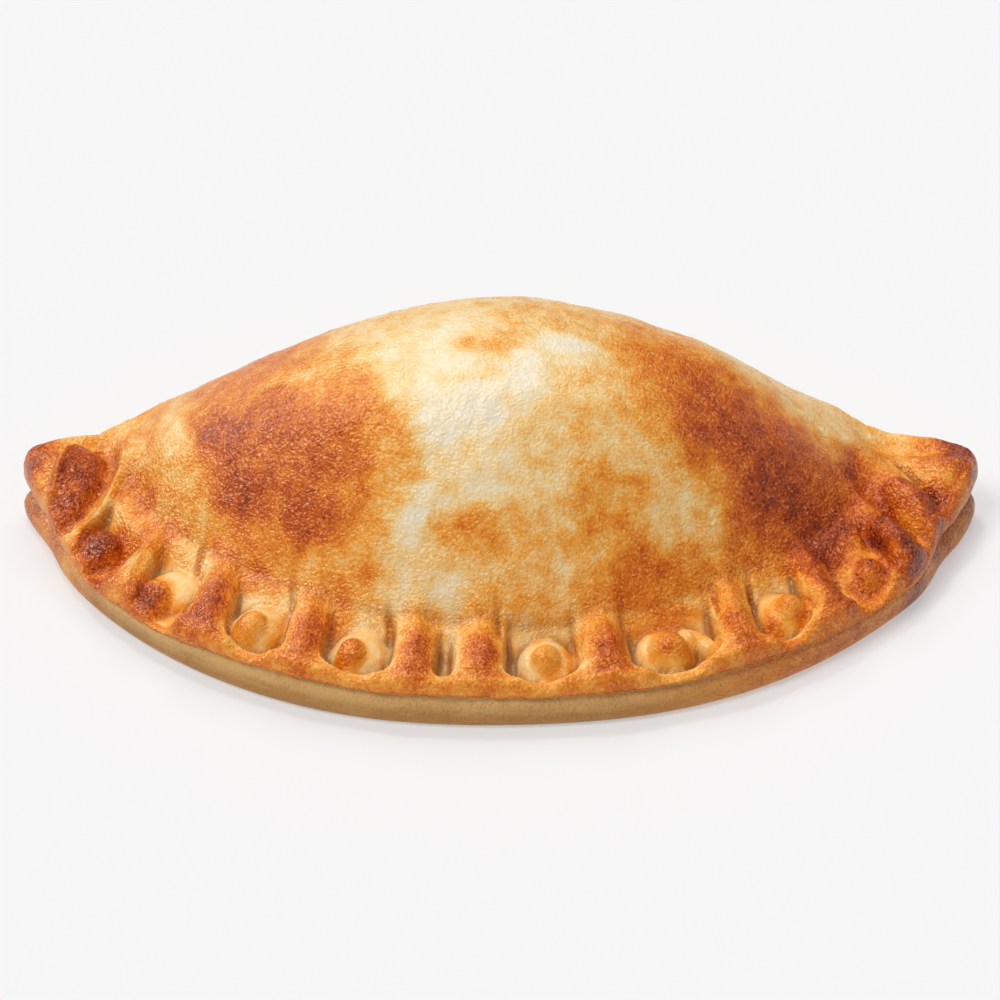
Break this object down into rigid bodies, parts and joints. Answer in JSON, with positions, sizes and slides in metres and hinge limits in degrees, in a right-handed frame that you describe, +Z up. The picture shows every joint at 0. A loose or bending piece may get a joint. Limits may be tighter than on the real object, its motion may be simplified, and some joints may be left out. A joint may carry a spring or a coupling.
{
  "type": "empanada",
  "caption": "Oven-baked folded turnover of golden dough, with a domed filled middle, a straight fold at the back and a curved front rim crimped into pockets with small knobs.",
  "frame": {"origin": "middle of the plan outline's box, on the flat underside", "axes": "+X from one tip to the other, to the right as seen from the crimped front, -Y towards the crimped rim, +Y towards the fold, +Z up"},
  "size_m": [0.1448, 0.0687, 0.0408],
  "materials": {
    "baked_dough": "baked dough, golden to dark brown, with a slightly glossy egg wash"
  },
  "bodies": {
    "root": {"empanada": "baked_dough"}
  },
  "joints": []
}
